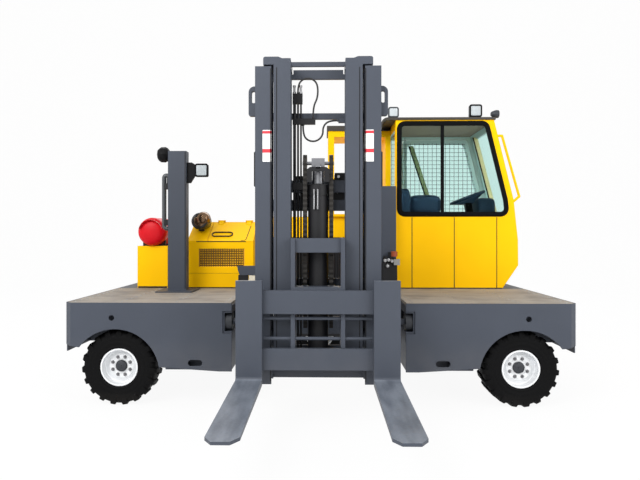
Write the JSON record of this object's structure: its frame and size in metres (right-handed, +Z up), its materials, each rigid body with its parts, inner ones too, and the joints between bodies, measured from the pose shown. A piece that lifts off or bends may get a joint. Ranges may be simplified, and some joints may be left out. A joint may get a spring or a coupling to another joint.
{
  "type": "four-way forklift",
  "caption": "Four-way side-loading forklift: reaching fork mast in a channel between two load platforms, cab on one end, engine and gas tank on the other.",
  "frame": {"origin": "on the floor at the middle of the machine's footprint, on the mast's centre plane", "axes": "+X to the cab end, +Y to the rear away from the fork tips, +Z up"},
  "size_m": [4.26, 4.2, 2.798],
  "materials": {
    "frame_paint": "satin",
    "body_paint": "gloss",
    "mast_steel": "satin",
    "tyre": "matte",
    "rim_paint": "gloss",
    "deck_boards": "worn",
    "black_metal": "satin",
    "chrome_rod": "polished",
    "tank_red": "gloss",
    "glass": "clear",
    "seat_cover": "woven",
    "black_plastic": "matte",
    "bright_steel": "brushed",
    "engine": "rough"
  },
  "bodies": {
    "chassis": {"frame_left": "frame_paint", "frame_right": "frame_paint", "frame_rear": "frame_paint", "deck_boards": "deck_boards", "reach_rails": "frame_paint", "reach_barrels": "black_metal", "hood_body": "body_paint", "hood_grille": "black_metal", "engine_block": "engine", "battery_box": "body_paint", "gas_tank": "tank_red", "tank_saddle": "black_metal", "post": "frame_paint", "work_lamps": "black_plastic", "exhaust_pipe": "bright_steel", "air_cleaner": "bright_steel", "rear_cover": "body_paint", "cab_front": "body_paint", "cab_rear": "body_paint", "cab_ends": "body_paint", "cab_roof": "black_metal", "cab_floor": "black_metal", "cab_annex": "body_paint", "cab_glass": "glass", "grab_handle": "body_paint", "seat": "seat_cover", "steering_console": "black_plastic", "side_panel": "frame_paint", "valve_block": "bright_steel"},
    "hood_lid": {"hood_lid": "body_paint"},
    "cab_door": {"cab_door": "body_paint", "door_glass": "glass", "window_guard": "black_metal"},
    "mast_carriage": {"mast_carriage": "mast_steel", "reach_rollers": "bright_steel", "reach_rods": "chrome_rod"},
    "outer_mast": {"outer_mast": "mast_steel", "lift_barrels": "black_metal"},
    "inner_mast": {"inner_mast": "mast_steel", "lift_rods": "chrome_rod", "mast_pipes": "black_metal", "hose_upper": "black_plastic", "hose_lower": "black_plastic", "free_lift_barrel": "black_metal"},
    "free_lift_head": {"free_lift_head": "chrome_rod", "lift_chains": "black_metal"},
    "fork_carriage": {"fork_carriage": "mast_steel"},
    "fork_left": {"fork_left": "mast_steel"},
    "fork_right": {"fork_right": "mast_steel"},
    "tilt_barrels": {"tilt_barrels": "black_metal"},
    "tilt_rods": {"tilt_rods": "chrome_rod"},
    "steer_left": {"knuckle_left": "black_metal"},
    "wheel_left": {"rim_left": "rim_paint", "tyre_left": "tyre"},
    "steer_right": {"knuckle_right": "black_metal"},
    "wheel_right": {"rim_right": "rim_paint", "tyre_right": "tyre"},
    "steer_rear": {"knuckle_rear": "black_metal"},
    "wheel_rear": {"rim_rear": "rim_paint", "tyre_rear": "tyre"}
  },
  "joints": [
    {"name": "mast_reach", "type": "slide", "parent": "chassis", "child": "mast_carriage", "axis": [0, 1, 0], "range_m": [0, 1.15]},
    {"name": "mast_tilt", "type": "hinge", "parent": "mast_carriage", "child": "outer_mast", "pos_m": [0, -0.42, 0.438], "axis": [-1, 0, 0], "range_deg": [-3, 5]},
    {"name": "mast_lift", "type": "slide", "parent": "outer_mast", "child": "inner_mast", "axis": [0, 0, 1], "range_m": [0, 1.6]},
    {"name": "carriage_lift", "type": "slide", "parent": "inner_mast", "child": "fork_carriage", "axis": [0, 0, 1], "range_m": [-0.24, 1.3]},
    {"name": "free_lift", "type": "slide", "parent": "inner_mast", "child": "free_lift_head", "axis": [0, 0, 1], "range_m": [-0.1201, 0.6501]},
    {"name": "fork_shift_left", "type": "slide", "parent": "fork_carriage", "child": "fork_left", "axis": [1, 0, 0], "range_m": [0, 0.2]},
    {"name": "fork_shift_right", "type": "slide", "parent": "fork_carriage", "child": "fork_right", "axis": [-1, 0, 0], "range_m": [0, 0.2]},
    {"name": "tilt_cylinder_swing", "type": "hinge", "parent": "mast_carriage", "child": "tilt_barrels", "pos_m": [0, 0.07, 0.778], "axis": [-1, 0, 0], "range_deg": [-1.65, 2.74]},
    {"name": "tilt_cylinder_stroke", "type": "slide", "parent": "tilt_barrels", "child": "tilt_rods", "axis": [0, -0.8638, 0.5039], "range_m": [-0.04727, 0.0284]},
    {"name": "hood_lid_hinge", "type": "hinge", "parent": "chassis", "child": "hood_lid", "pos_m": [-0.938, 1.5, 1.588], "axis": [-1, 0, 0], "range_deg": [0, 60]},
    {"name": "cab_door_hinge", "type": "hinge", "parent": "chassis", "child": "cab_door", "pos_m": [0.981, 2.066, 1.6], "axis": [0, 0, 1], "range_deg": [0, 100]},
    {"name": "steer_left", "type": "hinge", "parent": "chassis", "child": "steer_left", "pos_m": [-1.683, -0.065, 0.3215], "axis": [0, 0, -1], "range_deg": [0, 90]},
    {"name": "wheel_spin_left", "type": "hinge", "parent": "steer_left", "child": "wheel_left", "pos_m": [-1.683, -0.065, 0.3215], "axis": [0, 1, 0], "continuous": true},
    {"name": "steer_right", "type": "hinge", "parent": "chassis", "child": "steer_right", "pos_m": [1.683, -0.065, 0.3215], "axis": [0, 0, 1], "range_deg": [0, 90]},
    {"name": "wheel_spin_right", "type": "hinge", "parent": "steer_right", "child": "wheel_right", "pos_m": [1.683, -0.065, 0.3215], "axis": [0, 1, 0], "continuous": true},
    {"name": "steer_rear", "type": "hinge", "parent": "chassis", "child": "steer_rear", "pos_m": [0, 1.65, 0.3215], "axis": [0, 0, 1], "range_deg": [-90, 90]},
    {"name": "wheel_spin_rear", "type": "hinge", "parent": "steer_rear", "child": "wheel_rear", "pos_m": [0, 1.65, 0.3215], "axis": [0, 1, 0], "continuous": true}
  ],
  "couplings": [
    {"joint": "free_lift", "follows": "carriage_lift", "ratio": 0.5},
    {"joint": "tilt_cylinder_swing", "follows": "mast_tilt", "ratio": 0.54663},
    {"joint": "tilt_cylinder_stroke", "follows": "mast_tilt", "m_per_rad": -0.54058}
  ]
}
